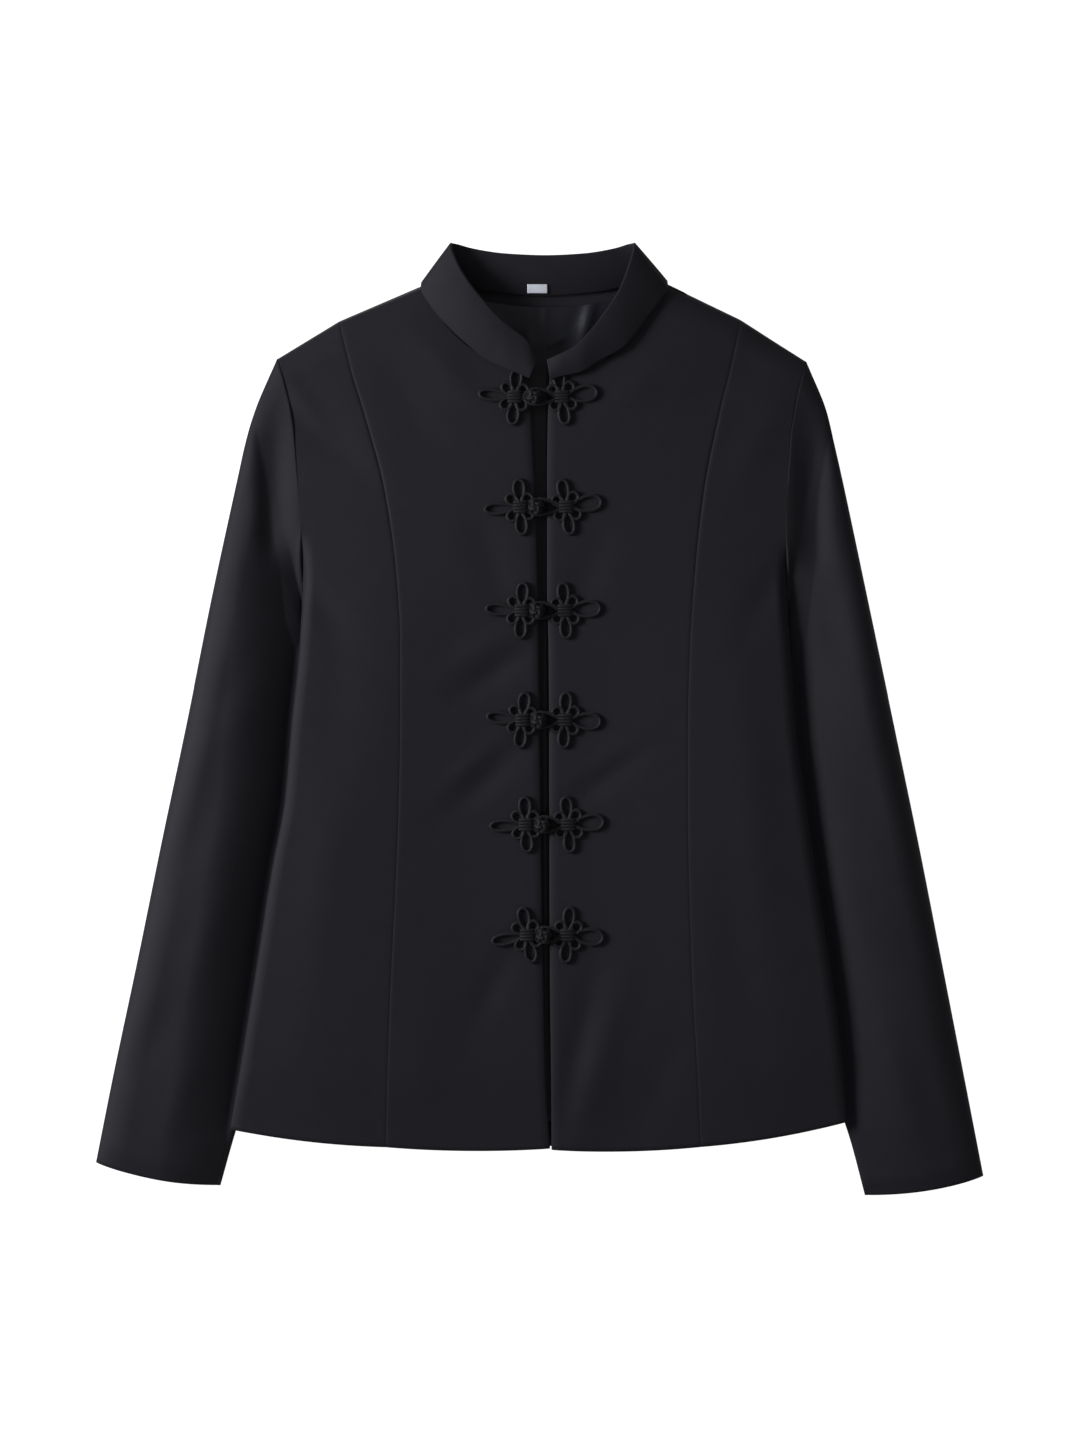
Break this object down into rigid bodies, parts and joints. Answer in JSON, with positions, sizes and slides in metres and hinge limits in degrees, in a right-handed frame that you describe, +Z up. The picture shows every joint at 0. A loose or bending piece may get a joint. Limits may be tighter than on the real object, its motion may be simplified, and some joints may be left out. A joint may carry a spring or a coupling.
{
  "type": "tang jacket",
  "caption": "Long-sleeved tang jacket of plain dark suiting laid flat, front up, with a stand collar, shoulder princess seams and knotted flower frogs down the closed front",
  "frame": {"origin": "on the surface the jacket lies on, under the middle of its whole plan", "axes": "+X towards the viewer's right, which is the wearer's left; +Y from hem to collar; +Z up from the surface, out of the jacket's front"},
  "size_m": [0.6624, 0.7098, 0.0284],
  "materials": {
    "suiting": "matte",
    "lining": "satin",
    "cord": "satin",
    "label": "satin"
  },
  "bodies": {
    "root": {"back": "suiting", "back_lining": "lining", "label": "label", "front_centre_left": "suiting", "front_side_left": "suiting", "sleeve_top_left": "suiting", "sleeve_under_left": "suiting", "front_centre_right": "suiting", "front_side_right": "suiting", "sleeve_top_right": "suiting", "sleeve_under_right": "suiting", "collar": "suiting", "frog_left_1": "cord", "frog_right_1": "cord", "knot_button_1": "cord", "frog_left_2": "cord", "frog_right_2": "cord", "knot_button_2": "cord", "frog_left_3": "cord", "frog_right_3": "cord", "knot_button_3": "cord", "frog_left_4": "cord", "frog_right_4": "cord", "knot_button_4": "cord", "frog_left_5": "cord", "frog_right_5": "cord", "knot_button_5": "cord", "frog_left_6": "cord", "frog_right_6": "cord", "knot_button_6": "cord"}
  },
  "joints": []
}
